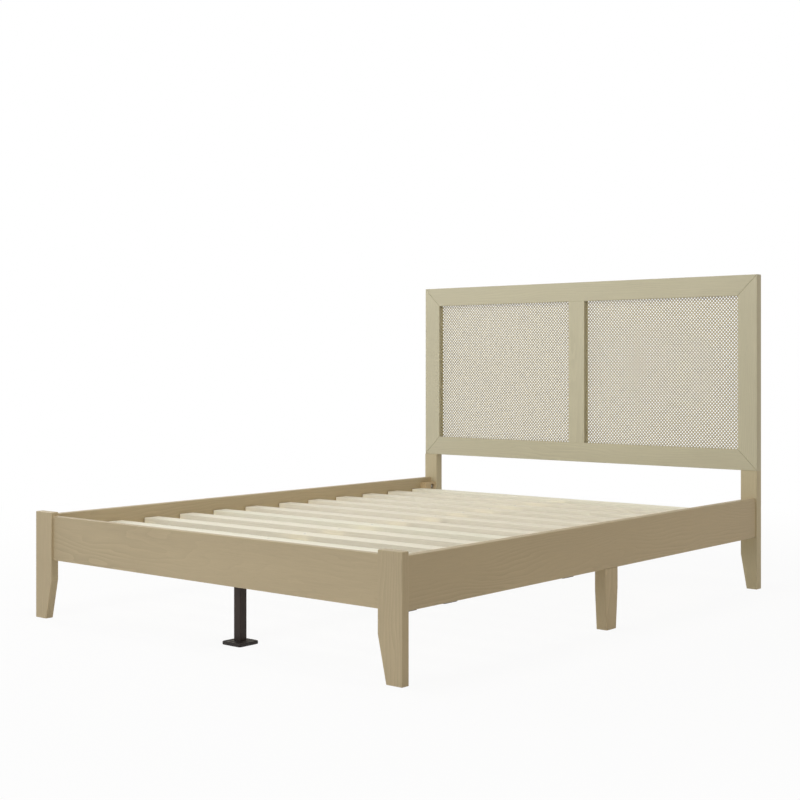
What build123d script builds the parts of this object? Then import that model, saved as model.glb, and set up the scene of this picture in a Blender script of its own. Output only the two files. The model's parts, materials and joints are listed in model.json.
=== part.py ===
"""Queen size platform bed with a framed cane headboard.

The origin is on the floor below the middle of the bed. +Z is up, the head end is
towards +Y, and left and right are those of someone standing at the foot end and
looking at the headboard, so right is +X. All lengths are in millimetres.
"""
from build123d import *
import os
from math import cos, pi, sin

# Overall size
bed_width = 1600.0
bed_length = 2112.0
bed_height = 1184.0
foot_end = -bed_length / 2
head_end = bed_length / 2
half_width = bed_width / 2

# Legs and posts
taper_height = 130.0
post_width = 85.5
post_depth = 29.0
post_height = 354.0
post_toe = 56.0
post_inner = half_width - post_width
mid_leg_width = 76.0
mid_leg_toe = 56.0
mid_leg_depth = 40.0
mid_leg_setback = 1047.0
mid_leg_y = foot_end + mid_leg_setback
mid_leg_tongue_top = 249.0
head_leg_width = 65.0
head_leg_depth = 38.0
head_leg_toe = 41.0
head_leg_front = head_end - head_leg_depth
wood_edge = 3.0
small_edge = 1.5
sawn_edge = 1.0
floor_edge_limit = 1.0

# Rails
rail_bottom = 195.0
rail_top = 341.5
foot_rail_recess = 9.0
foot_rail_back = foot_end + post_depth
side_rail_inset = 4.3
side_rail_thickness = 28.0
side_rail_outer = half_width - side_rail_inset
side_rail_inner = side_rail_outer - side_rail_thickness

# Slats and what carries them
slat_length = 1524.0
slat_width = 64.0
slat_thickness = 18.0
slat_top = 297.5
slat_bottom = slat_top - slat_thickness
slat_pitch = 165.0
slats_in_set = 6
slat_set_setbacks = [104.0, 1112.0]
ledger_size = 28.0
ledger_inner = side_rail_inner - ledger_size
block_length = 72.0
block_bottom = 210.0
block_top = 322.0
block_foot_y = foot_rail_back
block_head_y = head_leg_front - block_length

# Corner joint: a bolt screwed into the leg, with a nut in a round pocket
pocket_radius = 12.0
pocket_depth = 24.0
pocket_setback = 22.0
bolt_heights = [235.0, 303.0]
bolt_radius = 4.0
bolt_x = ledger_inner + ledger_size / 2
bolt_end_past_pocket = 2.0
bolt_in_leg = 22.0
washer_radius = 11.8
washer_length = 14.0
nut_flats = 13.0
nut_sides = 6
nut_start = 1.0
nut_thickness = 6.0

# Headboard frame
frame_depth = 35.5
frame_front = head_end - frame_depth
frame_bottom = 445.0
frame_member = 78.5
mullion_width = 75.0
joining_plate_width = 32.0
joining_plate_height = 160.0
joining_screw_length = 20.0
joining_screw_shifts = [-62.0, -22.0, 22.0, 62.0]
seam_half_width = 0.9
seam_depth = 2.0
seam_overrun = 2.0
panel_recess = 13.0
panel_thickness = 3.0
rabbet_width = 10.0
bead_depth = 12.0
panel_front = frame_front + panel_recess
panel_back = panel_front + panel_thickness
opening_bottom = frame_bottom + frame_member
opening_top = bed_height - frame_member
opening_outer = half_width - frame_member
opening_inner = mullion_width / 2

# Centre support
beam_width = 89.0
beam_height = 38.0
beam_half_length = 986.0
steel_plate = 2.5
beam_start = foot_rail_back + steel_plate
beam_joint_y = beam_start + beam_half_length
bracket_reach = 50.0
bracket_height = 30.0
bracket_top_gap = 2.0
splice_half_width = 30.0
splice_half_length = 80.0
splice_corner = 6.0
tube_size = 28.0
tube_wall = 1.5
tube_radius = 2.5
tube_gap = 0.5
tube_overrun = 1.0
centre_leg_x = beam_width / 2 + tube_size / 2 + tube_gap
centre_leg_offsets = [92.5, 851.0]
tube_bottom = 13.5
tube_top = 277.0
plug_flange = 2.0
plug_height = 20.0
plate_size = 80.0
plate_thickness = 11.0
plate_edge = 2.0
plate_corner = 3.0
stem_length = 45.0
stem_clearance = 0.05

# Fasteners
clearance = 0.1
dowel_radius = 4.0
dowel_length = 40.0
dowel_edge_distance = 40.0
mitre_dowel_shares = [0.38, 0.66]
mitre_dowel_depth = 8.0
mullion_dowel_x = 12.0
head_leg_dowel_setback = 22.0
head_leg_dowel_shift = 16.0
screw_radius = 2.0
screw_head_radius = 4.2
screw_head_height = 2.6
slat_screw_length = 35.0
slat_screw_end_distance = 8.0
rail_screw_length = 46.0
ledger_screw_count = 6
ledger_screw_end_distance = 60.0
block_screw_edge_distance = 14.0
block_screw_heights = [225.0, 262.0]
mid_leg_screw_length = 30.0
mid_leg_screw_shift = 22.0
bracket_screw_x = 28.0
bracket_screw_drop = 16.0
bracket_rail_screw_length = 16.0
bracket_beam_screw_reach = 32.0
beam_screw_length = 22.0
splice_screw_x = 18.0
splice_screw_y = 55.0
machine_screw_radius = 3.0
machine_head_radius = 5.5
machine_head_height = 4.0
leg_bolt_length = 52.0
leg_bolt_shift = 9.0

x_axis = (1, 0, 0)
y_axis = (0, 1, 0)
z_axis = (0, 0, 1)


def block(x_range, y_range, z_range):
    """A box between two values along each axis."""
    size = [high - low for low, high in (x_range, y_range, z_range)]
    corner = Pos(x_range[0], y_range[0], z_range[0])
    return corner * Box(*size, align=(Align.MIN, Align.MIN, Align.MIN))


def sided(side, x_range):
    """An X range given for the right side, mirrored when side is -1."""
    low, high = sorted((side * x_range[0], side * x_range[1]))
    return (low, high)


def rod(point, direction, radius, length):
    """A cylinder that starts at a point and runs along a direction."""
    shape = Cylinder(radius, length, align=(Align.CENTER, Align.CENTER, Align.MIN))
    return Plane(origin=point, z_dir=direction) * shape


def prism(points, y_low, y_high):
    """An outline of (x, z) points carried along Y."""
    outline = Polyline(*[(x, y_low, z) for x, z in points], close=True)
    return extrude(make_face(outline), amount=y_high - y_low, dir=y_axis)


def eased(part, radius, top=bed_height):
    """Round the edges between the floor and a height, apart from those that lie on the floor."""
    edges = [edge for edge in part.edges() if floor_edge_limit < edge.center().Z < top]
    return fillet(edges, radius)


def cut(part, tools):
    """Take each tool away from the part."""
    for tool in tools:
        part = part - tool
    return part


def gathered(solids):
    """Put separate solids in one node."""
    return Compound(children=list(solids))


def countersunk_screw(point, direction, length, grow=0.0):
    """A wood screw whose flat head lies flush at a point."""
    cone = Cone(screw_head_radius + grow, screw_radius + grow, screw_head_height,
                align=(Align.CENTER, Align.CENTER, Align.MIN))
    head = Plane(origin=point, z_dir=direction) * cone
    return head + rod(point, direction, screw_radius + grow, length + grow)


def pan_screw(point, direction, length, grow=0.0):
    """A screw whose low round head stands proud of a point on a plate."""
    away = tuple(-value for value in direction)
    head = rod(point, away, screw_head_radius + grow, screw_head_height)
    return head + rod(point, direction, screw_radius + grow, length + grow)


# Fastener places

def slat_starts():
    """The foot side of each slat, two sets of equal spacing."""
    return [foot_end + setback + number * slat_pitch
            for setback in slat_set_setbacks for number in range(slats_in_set)]


def slat_screw_places():
    """One screw at each end of a slat and one over the centre beam."""
    end_x = slat_length / 2 - slat_screw_end_distance
    places = []
    for start in slat_starts():
        for x in (-end_x, 0.0, end_x):
            places.append((x, start + slat_width / 2, slat_top))
    return places


def slat_screw(place, grow=0.0):
    """A screw down through a slat into the ledger or the beam."""
    return countersunk_screw(place, (0, 0, -1), slat_screw_length, grow)


def ledger_screw_places(side):
    """The screws through a ledger strip into its side rail."""
    first = block_foot_y + block_length + ledger_screw_end_distance
    last = block_head_y - ledger_screw_end_distance
    step = (last - first) / (ledger_screw_count - 1)
    height = slat_bottom - ledger_size / 2
    return [(side * ledger_inner, first + number * step, height) for number in range(ledger_screw_count)]


def block_screw_places(side):
    """Two screws through each corner block into the side rail."""
    places = []
    foot_y = block_foot_y + block_length - block_screw_edge_distance
    head_y = block_head_y + block_screw_edge_distance
    for y in (foot_y, head_y):
        for z in block_screw_heights:
            places.append((side * ledger_inner, y, z))
    return places


def mid_leg_screw_places(side):
    """Two screws through the tongue of a mid leg into the side rail."""
    inner = side * (side_rail_outer - mid_leg_depth)
    height = (rail_bottom + mid_leg_tongue_top) / 2
    return [(inner, mid_leg_y + shift, height) for shift in (-mid_leg_screw_shift, mid_leg_screw_shift)]


def rail_screws(side, grow=0.0):
    """Every screw that ends in one side rail."""
    outward = (side, 0, 0)
    long_places = ledger_screw_places(side) + block_screw_places(side)
    screws = [countersunk_screw(place, outward, rail_screw_length, grow) for place in long_places]
    screws += [countersunk_screw(place, outward, mid_leg_screw_length, grow)
               for place in mid_leg_screw_places(side)]
    return screws


def joining_plate_screws(side, grow=0.0):
    """Four screws through the steel plate behind a headboard leg."""
    x = side * (half_width - head_leg_width / 2)
    heights = [frame_bottom + shift for shift in joining_screw_shifts]
    return [countersunk_screw((x, head_end, z), (0, -1, 0), joining_screw_length, grow) for z in heights]


def bracket_screws(grow=0.0):
    """Two screws into the foot rail and two up into the beam."""
    back = foot_rail_back + steel_plate
    below = slat_bottom - beam_height - steel_plate
    screws = []
    for x in (-bracket_screw_x, bracket_screw_x):
        rail_place = (x, back, below - bracket_screw_drop)
        beam_place = (x, beam_start + bracket_beam_screw_reach, below)
        screws.append(pan_screw(rail_place, (0, -1, 0), bracket_rail_screw_length, grow))
        screws.append(pan_screw(beam_place, z_axis, beam_screw_length, grow))
    return screws


def splice_screws(grow=0.0):
    """Four screws through the plate under the joint of the beam."""
    below = slat_bottom - beam_height - steel_plate
    places = [(x, beam_joint_y + y, below) for x in (-splice_screw_x, splice_screw_x)
              for y in (-splice_screw_y, splice_screw_y)]
    return [pan_screw(place, z_axis, beam_screw_length, grow) for place in places]


def centre_leg_places():
    """The Y of each centre leg: two on each half of the beam."""
    return [beam_start + half * beam_half_length + offset
            for half in (0, 1) for offset in centre_leg_offsets]


def leg_bolt(leg_y, height, grow=0.0):
    """A machine screw through the tube into the side of the beam."""
    face = centre_leg_x + tube_size / 2
    head = rod((face, leg_y, height), x_axis, machine_head_radius + grow, machine_head_height)
    shank = rod((face, leg_y, height), (-1, 0, 0), machine_screw_radius + grow, leg_bolt_length + grow)
    return head + shank


def leg_bolts(leg_y, grow=0.0):
    """The two machine screws of one centre leg."""
    middle = slat_bottom - beam_height / 2
    return [leg_bolt(leg_y, middle + shift, grow) for shift in (-leg_bolt_shift, leg_bolt_shift)]


def corner_places(side, end):
    """Nut pocket centres of one corner: end is -1 at the foot and 1 at the head."""
    face = head_leg_front if end > 0 else foot_rail_back
    return [(side * bolt_x, face - end * pocket_setback, height) for height in bolt_heights]


def hanger_bolt(place, end, grow=0.0):
    """A headless bolt from the nut pocket into the leg or post."""
    x, y, z = place
    start = (x, y - end * bolt_end_past_pocket, z)
    length = bolt_end_past_pocket + pocket_setback + bolt_in_leg
    return rod(start, (0, end, 0), bolt_radius + grow, length + grow)


def hanger_nut(place, end):
    """A hexagon nut with a clearance hole, inside the pocket."""
    x, y, z = place
    outline = RegularPolygon(nut_flats / 2, nut_sides, major_radius=False)
    body = extrude(outline, nut_thickness) - Cylinder(bolt_radius + clearance, 4 * nut_thickness)
    return Plane(origin=(x, y + end * nut_start, z), z_dir=(0, end, 0)) * body


def crescent_washer(place, end):
    """A washer flat on the nut side and round on the pocket side."""
    x, y, z = place
    disc = rod((x - washer_length / 2, y, z), x_axis, washer_radius, washer_length)
    flat = y + end * (nut_start + nut_thickness)
    limit = y + end * 2 * washer_radius
    keep = block((x - washer_length, x + washer_length), sorted((flat, limit)),
                 (z - washer_radius, z + washer_radius))
    hole = rod((x, y - end * washer_radius, z), (0, end, 0), bolt_radius + clearance, 3 * washer_radius)
    return (disc & keep) - hole


# Dowel places

def foot_rail_dowels(side):
    """Two dowels between the foot rail and a post, as (point, direction)."""
    y = (foot_end + foot_rail_recess + foot_rail_back) / 2
    x = side * (post_inner - dowel_length / 2)
    heights = (rail_bottom + dowel_edge_distance, rail_top - dowel_edge_distance)
    return [((x, y, z), (side, 0, 0)) for z in heights]


def mitre_dowels(side, z_side):
    """Two dowels square to a mitre of the headboard frame."""
    outer_z = bed_height if z_side > 0 else frame_bottom
    places = []
    for share in mitre_dowel_shares:
        x = side * (half_width - share * frame_member)
        z = outer_z - z_side * share * frame_member
        reach = dowel_length / 2 * cos(pi / 4)
        point = (x - side * reach, frame_front + mitre_dowel_depth, z + z_side * reach)
        places.append((point, (side * cos(pi / 4), 0, -z_side * sin(pi / 4))))
    return places


def mullion_dowels(z_side):
    """Two dowels at one end of the mullion."""
    z = opening_top if z_side > 0 else opening_bottom
    y = frame_front + frame_depth / 2
    start = z - z_side * dowel_length / 2
    return [((x, y, start), (0, 0, z_side)) for x in (-mullion_dowel_x, mullion_dowel_x)]


def head_leg_dowels(side):
    """Two dowels between a headboard leg and the frame above it."""
    y = head_end - head_leg_dowel_setback
    middle = half_width - head_leg_width / 2
    return [((side * (middle + shift), y, frame_bottom - dowel_length / 2), z_axis)
            for shift in (-head_leg_dowel_shift, head_leg_dowel_shift)]


def dowel(place, grow=0.0):
    """A round wooden dowel."""
    point, direction = place
    return rod(point, direction, dowel_radius + grow, dowel_length)


def dowel_holes(places):
    """What the dowels need cut out of the boards."""
    return [dowel(place, clearance) for place in places]


# Foot end

def foot_post(side):
    """A corner post, straight outside and tapered on its inner side."""
    outline = [(half_width, 0.0), (half_width, post_height), (post_inner, post_height),
               (post_inner, taper_height), (half_width - post_toe, 0.0)]
    post = prism([(side * x, z) for x, z in outline], foot_end, foot_rail_back)
    post = eased(post, wood_edge)
    bolts = [hanger_bolt(place, -1, clearance) for place in corner_places(side, -1)]
    return cut(post, bolts + dowel_holes(foot_rail_dowels(side)))


def foot_rail():
    """The rail between the two corner posts."""
    rail = block((-post_inner, post_inner), (foot_end + foot_rail_recess, foot_rail_back),
                 (rail_bottom, rail_top))
    long_edges = rail.edges().filter_by(Axis.X)
    rail = fillet(long_edges, wood_edge)
    holes = dowel_holes(foot_rail_dowels(-1) + foot_rail_dowels(1))
    return cut(rail, holes + bracket_screws(clearance))


# Sides

def side_rail(side):
    """A side rail from the back of the post to the front of the headboard leg."""
    rail = block(sided(side, (side_rail_inner, side_rail_outer)),
                 (foot_rail_back, head_leg_front), (rail_bottom, rail_top))
    rail = fillet(rail.edges().filter_by(Axis.Y), wood_edge)
    return cut(rail, rail_screws(side, clearance))


def slat_ledger(side):
    """The strip inside a side rail on which the slats lie."""
    ledger = block(sided(side, (ledger_inner, side_rail_inner)),
                   (block_foot_y + block_length, block_head_y),
                   (slat_bottom - ledger_size, slat_bottom))
    ledger = chamfer(ledger.edges().filter_by(Axis.Y), sawn_edge)
    outward = (side, 0, 0)
    screws = [countersunk_screw(place, outward, rail_screw_length, clearance)
              for place in ledger_screw_places(side)]
    slat_screws = [slat_screw(place, clearance) for place in slat_screw_places() if place[0] * side > 0]
    return cut(ledger, screws + slat_screws)


def mid_leg(side):
    """A leg under the middle of a side rail, with a tongue behind the rail."""
    half_top = mid_leg_width / 2
    half_toe = mid_leg_toe / 2
    outline = [(-half_toe, 0.0), (half_toe, 0.0), (half_top, taper_height), (half_top, rail_bottom),
               (-half_top, rail_bottom), (-half_top, taper_height)]
    low, high = sided(side, (side_rail_outer - mid_leg_depth, side_rail_outer))
    wire = Polyline(*[(low, mid_leg_y + y, z) for y, z in outline], close=True)
    leg = extrude(make_face(wire), amount=high - low, dir=x_axis)
    leg = eased(leg, wood_edge, rail_bottom - floor_edge_limit)
    tongue = block(sided(side, (side_rail_outer - mid_leg_depth, side_rail_inner)),
                   (mid_leg_y - half_top + wood_edge, mid_leg_y + half_top - wood_edge),
                   (rail_bottom - wood_edge, mid_leg_tongue_top))
    outward = (side, 0, 0)
    screws = [countersunk_screw(place, outward, mid_leg_screw_length, clearance)
              for place in mid_leg_screw_places(side)]
    return cut(leg + tongue, screws)


def corner_block(side, end):
    """A block that joins a side rail to a post or leg, with two nut pockets."""
    y_low = block_head_y if end > 0 else block_foot_y
    body = block(sided(side, (ledger_inner, side_rail_inner)), (y_low, y_low + block_length),
                 (block_bottom, block_top))
    body = chamfer(body.edges().filter_by(Axis.Y), small_edge)
    places = corner_places(side, end)
    pockets = [rod((side * ledger_inner, y, z), (side, 0, 0), pocket_radius, pocket_depth)
               for _, y, z in places]
    bolts = [hanger_bolt(place, end, clearance) for place in places]
    outward = (side, 0, 0)
    own = [place for place in block_screw_places(side) if y_low < place[1] < y_low + block_length]
    screws = [countersunk_screw(place, outward, rail_screw_length, clearance) for place in own]
    return cut(body, pockets + bolts + screws)


# Slats

def slat(start):
    """One slat across the bed, flush on the ledgers and the centre beam."""
    board = block((-slat_length / 2, slat_length / 2), (start, start + slat_width),
                  (slat_bottom, slat_top))
    board = fillet(board.edges().filter_by(Axis.X), small_edge)
    own = [place for place in slat_screw_places() if start < place[1] < start + slat_width]
    return cut(board, [slat_screw(place, clearance) for place in own])


# Headboard

def panel_space(side, y_low, y_high):
    """The space of one panel and its rabbet between two depths."""
    x_range = sided(side, (opening_inner - rabbet_width, opening_outer + rabbet_width))
    return block(x_range, (y_low, y_high), (opening_bottom - rabbet_width, opening_top + rabbet_width))


def rabbets():
    """The step at the back of the frame that takes the panels and beads."""
    return [panel_space(side, panel_front, head_end) for side in (-1, 1)]


def mitre_seam(side, z_side):
    """A fine V-shaped groove in the front of the frame along one of its mitres."""
    outer_z = bed_height if z_side > 0 else frame_bottom
    start = (side * (half_width + seam_overrun), frame_front, outer_z + z_side * seam_overrun)
    along = (-side * cos(pi / 4), 0, -z_side * sin(pi / 4))
    across = (along[2], 0, -along[0])
    outline = Polygon((-seam_half_width, 0), (0, -seam_depth), (seam_half_width, 0), (0, seam_depth),
                      align=None)
    length = (frame_member + 2 * seam_overrun) / cos(pi / 4)
    return extrude(Plane(origin=start, x_dir=across, z_dir=along) * outline, amount=length)


def frame_rail(z_side):
    """The top or bottom rail of the headboard frame, with mitred ends."""
    outer = bed_height if z_side > 0 else frame_bottom
    inner = outer - z_side * frame_member
    outline = [(-half_width, outer), (half_width, outer), (opening_outer, inner), (-opening_outer, inner)]
    rail = prism(outline, frame_front, head_end)
    rail = fillet(rail.edges().filter_by(Axis.X), small_edge)
    holes = dowel_holes(mitre_dowels(-1, z_side) + mitre_dowels(1, z_side) + mullion_dowels(z_side))
    if z_side < 0:
        holes += dowel_holes(head_leg_dowels(-1) + head_leg_dowels(1))
        holes += joining_plate_screws(-1, clearance) + joining_plate_screws(1, clearance)
        holes += [joining_plate_blank(-1), joining_plate_blank(1)]
    seams = [mitre_seam(-1, z_side), mitre_seam(1, z_side)]
    return cut(rail, rabbets() + holes + seams)


def stile(side):
    """An upright of the headboard frame, with mitred ends."""
    outline = [(half_width, frame_bottom), (half_width, bed_height),
               (opening_outer, opening_top), (opening_outer, opening_bottom)]
    upright = prism([(side * x, z) for x, z in outline], frame_front, head_end)
    upright = fillet(upright.edges().filter_by(Axis.Z), small_edge)
    holes = dowel_holes(mitre_dowels(side, 1) + mitre_dowels(side, -1) + head_leg_dowels(side))
    holes += joining_plate_screws(side, clearance) + [joining_plate_blank(side)]
    seams = [mitre_seam(side, -1), mitre_seam(side, 1)]
    return cut(upright, rabbets() + holes + seams)


def mullion():
    """The upright between the two panels."""
    upright = block((-mullion_width / 2, mullion_width / 2), (frame_front, head_end),
                    (opening_bottom, opening_top))
    upright = fillet(upright.edges().filter_by(Axis.Z), small_edge)
    return cut(upright, rabbets() + dowel_holes(mullion_dowels(1) + mullion_dowels(-1)))


def cane_panel(side):
    """A panel of woven cane, as the flat sheet that the weave fills."""
    return panel_space(side, panel_front, panel_back)


def panel_beads(side):
    """Four mitred strips that hold a panel in its rabbet from behind."""
    low, high = sided(side, (opening_inner - rabbet_width, opening_outer + rabbet_width))
    bottom = opening_bottom - rabbet_width
    top = opening_top + rabbet_width
    outer = [(low, bottom), (high, bottom), (high, top), (low, top)]
    inner = [(low + rabbet_width, opening_bottom), (high - rabbet_width, opening_bottom),
             (high - rabbet_width, opening_top), (low + rabbet_width, opening_top)]
    strips = []
    for number in range(len(outer)):
        following = (number + 1) % len(outer)
        outline = [outer[number], outer[following], inner[following], inner[number]]
        strips.append(prism(outline, panel_back, panel_back + bead_depth))
    return strips


def head_leg(side):
    """A leg that carries the headboard frame, tapered on its inner side."""
    inner = half_width - head_leg_width
    outline = [(half_width, 0.0), (half_width, frame_bottom), (inner, frame_bottom),
               (inner, taper_height), (half_width - head_leg_toe, 0.0)]
    leg = prism([(side * x, z) for x, z in outline], head_leg_front, head_end)
    leg = eased(leg, small_edge, frame_bottom - floor_edge_limit)
    holes = dowel_holes(head_leg_dowels(side)) + joining_plate_screws(side, clearance)
    holes += [hanger_bolt(place, 1, clearance) for place in corner_places(side, 1)]
    return cut(leg, holes + [joining_plate_blank(side)])


def joining_plate_blank(side):
    """The outline of the plate across a leg and the frame, let in flush."""
    x = side * (half_width - head_leg_width / 2)
    half_plate_width = joining_plate_width / 2
    half_plate_height = joining_plate_height / 2
    return block((x - half_plate_width, x + half_plate_width), (head_end - steel_plate, head_end),
                 (frame_bottom - half_plate_height, frame_bottom + half_plate_height))


def joining_plate(side):
    """A flat steel plate behind the joint of a leg and the frame."""
    return cut(joining_plate_blank(side), joining_plate_screws(side, clearance))


# Centre support

def centre_beam(half):
    """Half of the centre beam: 0 at the foot end and 1 at the head end."""
    start = beam_start + half * beam_half_length
    beam = block((-beam_width / 2, beam_width / 2), (start, start + beam_half_length),
                 (slat_bottom - beam_height, slat_bottom))
    beam = chamfer(beam.edges().filter_by(Axis.Y), sawn_edge)
    screws = [slat_screw(place, clearance) for place in slat_screw_places()
              if place[0] == 0 and start < place[1] < start + beam_half_length]
    for leg_y in centre_leg_places():
        if start < leg_y < start + beam_half_length:
            screws += leg_bolts(leg_y, clearance)
    return cut(beam, screws + splice_screws(clearance) + bracket_screws(clearance))


def beam_bracket():
    """A steel hanger on the foot rail that carries the end of the beam."""
    half = beam_width / 2
    below = slat_bottom - beam_height
    x_range = (-half - steel_plate, half + steel_plate)
    y_range = (foot_rail_back, beam_start + bracket_reach)
    back_z = (below - bracket_height, slat_bottom - bracket_top_gap)
    back = block(x_range, (foot_rail_back, beam_start), back_z)
    bracket = back + block(x_range, y_range, (below - steel_plate, below))
    for side in (-1, 1):
        cheek_x = sided(side, (half, half + steel_plate))
        bracket = bracket + block(cheek_x, y_range, (below - steel_plate, below + bracket_height))
    return cut(bracket, bracket_screws(clearance))


def beam_splice_plate():
    """A steel plate under the joint of the two beam halves."""
    below = slat_bottom - beam_height
    plate = block((-splice_half_width, splice_half_width),
                  (beam_joint_y - splice_half_length, beam_joint_y + splice_half_length),
                  (below - steel_plate, below))
    plate = fillet(plate.edges().filter_by(Axis.Z), splice_corner)
    return cut(plate, splice_screws(clearance))


def centre_leg(leg_y):
    """A square steel tube bolted to the side of the beam."""
    outside = block((centre_leg_x - tube_size / 2, centre_leg_x + tube_size / 2),
                    (leg_y - tube_size / 2, leg_y + tube_size / 2), (tube_bottom, tube_top))
    outside = fillet(outside.edges().filter_by(Axis.Z), tube_radius)
    bore = tube_size / 2 - tube_wall
    inside = block((centre_leg_x - bore, centre_leg_x + bore), (leg_y - bore, leg_y + bore),
                   (tube_bottom - tube_overrun, tube_top + tube_overrun))
    return cut(outside - inside, leg_bolts(leg_y, clearance))


def end_plug(leg_y):
    """A moulded plug in the end of the tube, with a threaded hole."""
    flange = block((centre_leg_x - tube_size / 2, centre_leg_x + tube_size / 2),
                   (leg_y - tube_size / 2, leg_y + tube_size / 2), (tube_bottom - plug_flange, tube_bottom))
    flange = fillet(flange.edges().filter_by(Axis.Z), tube_radius)
    bore = tube_size / 2 - tube_wall - clearance
    body = block((centre_leg_x - bore, centre_leg_x + bore), (leg_y - bore, leg_y + bore),
                 (tube_bottom, tube_bottom + plug_height))
    hole_length = tube_bottom + 2 * plug_height
    hole = rod((centre_leg_x, leg_y, 0), z_axis, bolt_radius + stem_clearance, hole_length)
    return flange + body - hole


def levelling_foot(leg_y):
    """A square foot on a threaded stem that screws into the plug."""
    half = plate_size / 2
    plate = block((centre_leg_x - half, centre_leg_x + half), (leg_y - half, leg_y + half),
                  (0, plate_thickness))
    plate = fillet(plate.edges().filter_by(Axis.Z), plate_corner)
    top_edges = plate.edges().group_by(Axis.Z)[-1]
    plate = chamfer(top_edges, plate_edge)
    return plate + rod((centre_leg_x, leg_y, plate_thickness), z_axis, bolt_radius, stem_length)


def sub_parts():
    """Every node's name with its solid or group of solids."""
    sides = {"left": -1, "right": 1}
    ends = {"foot": -1, "head": 1}
    corners = [(side, end) for side in sides.values() for end in ends.values()]
    parts = {"foot_rail": foot_rail()}
    for name, side in sides.items():
        parts[f"foot_post_{name}"] = foot_post(side)
        parts[f"side_rail_{name}"] = side_rail(side)
        parts[f"slat_ledger_{name}"] = slat_ledger(side)
        parts[f"mid_leg_{name}"] = mid_leg(side)
        parts[f"headboard_leg_{name}"] = head_leg(side)
        parts[f"headboard_stile_{name}"] = stile(side)
        parts[f"cane_panel_{name}"] = cane_panel(side)
        for end_name, end in ends.items():
            parts[f"corner_block_{end_name}_{name}"] = corner_block(side, end)
    parts["headboard_top_rail"] = frame_rail(1)
    parts["headboard_bottom_rail"] = frame_rail(-1)
    parts["headboard_mullion"] = mullion()
    parts["panel_beads"] = gathered(panel_beads(-1) + panel_beads(1))
    parts["leg_joining_plates"] = gathered(joining_plate(side) for side in sides.values())
    for number, start in enumerate(slat_starts(), start=1):
        parts[f"slat_{number:02d}"] = slat(start)
    parts["centre_beam_front"] = centre_beam(0)
    parts["centre_beam_rear"] = centre_beam(1)
    parts["beam_foot_bracket"] = beam_bracket()
    parts["beam_splice_plate"] = beam_splice_plate()
    for number, leg_y in enumerate(centre_leg_places(), start=1):
        parts[f"centre_leg_{number}"] = centre_leg(leg_y)
        parts[f"levelling_foot_{number}"] = levelling_foot(leg_y)
    parts["leg_end_plugs"] = gathered(end_plug(leg_y) for leg_y in centre_leg_places())
    bolts = [bolt for leg_y in centre_leg_places() for bolt in leg_bolts(leg_y)]
    parts["centre_leg_bolts"] = gathered(bolts)
    nuts = [(place, end) for side, end in corners for place in corner_places(side, end)]
    parts["hanger_bolts"] = gathered(hanger_bolt(place, end) for place, end in nuts)
    parts["hanger_nuts"] = gathered(hanger_nut(place, end) for place, end in nuts)
    parts["crescent_washers"] = gathered(crescent_washer(place, end) for place, end in nuts)
    parts["dowels"] = gathered(dowel(place) for place in dowel_places())
    parts["slat_screws"] = gathered(slat_screw(place) for place in slat_screw_places())
    screws = rail_screws(-1) + rail_screws(1) + joining_plate_screws(-1) + joining_plate_screws(1)
    parts["wood_screws"] = gathered(screws + bracket_screws() + splice_screws())
    return parts


def dowel_places():
    """Every dowel of the bed."""
    places = mullion_dowels(1) + mullion_dowels(-1)
    for side in (-1, 1):
        places += foot_rail_dowels(side) + head_leg_dowels(side)
        places += mitre_dowels(side, 1) + mitre_dowels(side, -1)
    return places


os.makedirs("parts", exist_ok=True)
for node, shape in sub_parts().items():
    export_step(shape, f"parts/{node}.step")
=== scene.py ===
"""Finishes, woven cane, fittings and studio for a platform bed with a framed headboard.

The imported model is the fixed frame: +Z is up, +Y is the head end, and lengths here are
in metres unless a name ends in _mm. New pieces are surfaces worked out with numpy.
"""
import json
from math import pi, radians

import bmesh
import bpy
import numpy as np
from bpy.props import FloatProperty, FloatVectorProperty, PointerProperty
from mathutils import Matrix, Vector


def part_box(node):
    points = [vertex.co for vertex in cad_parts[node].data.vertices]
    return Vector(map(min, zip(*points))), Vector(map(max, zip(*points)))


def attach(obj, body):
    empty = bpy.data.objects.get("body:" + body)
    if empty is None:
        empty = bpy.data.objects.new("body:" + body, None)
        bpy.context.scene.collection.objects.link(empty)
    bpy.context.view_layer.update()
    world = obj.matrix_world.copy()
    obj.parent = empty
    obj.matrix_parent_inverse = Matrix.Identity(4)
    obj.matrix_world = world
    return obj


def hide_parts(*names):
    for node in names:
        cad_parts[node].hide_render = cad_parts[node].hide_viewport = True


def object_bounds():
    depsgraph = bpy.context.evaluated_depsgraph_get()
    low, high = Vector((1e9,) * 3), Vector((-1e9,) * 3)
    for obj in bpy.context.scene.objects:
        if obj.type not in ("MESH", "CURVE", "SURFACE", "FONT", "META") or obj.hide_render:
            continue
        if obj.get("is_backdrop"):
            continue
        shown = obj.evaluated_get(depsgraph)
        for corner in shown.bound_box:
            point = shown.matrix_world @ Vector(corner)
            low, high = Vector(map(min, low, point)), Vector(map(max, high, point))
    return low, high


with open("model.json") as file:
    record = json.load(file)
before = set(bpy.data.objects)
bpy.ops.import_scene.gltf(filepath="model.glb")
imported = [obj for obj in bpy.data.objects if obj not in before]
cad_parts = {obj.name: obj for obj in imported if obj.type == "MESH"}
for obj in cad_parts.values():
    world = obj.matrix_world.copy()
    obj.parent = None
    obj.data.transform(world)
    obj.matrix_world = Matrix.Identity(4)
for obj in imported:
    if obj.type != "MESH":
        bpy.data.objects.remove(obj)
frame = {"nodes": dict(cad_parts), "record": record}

bl_info = {
    "name": "Framed Cane Bed",
    "version": (1, 0, 0),
    "blender": (4, 5, 0),
    "location": "3D View > Sidebar > Bed",
    "description": "Dresses the packed bed with timber, woven cane, fittings and a plain studio",
    "category": "Object",
}

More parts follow.
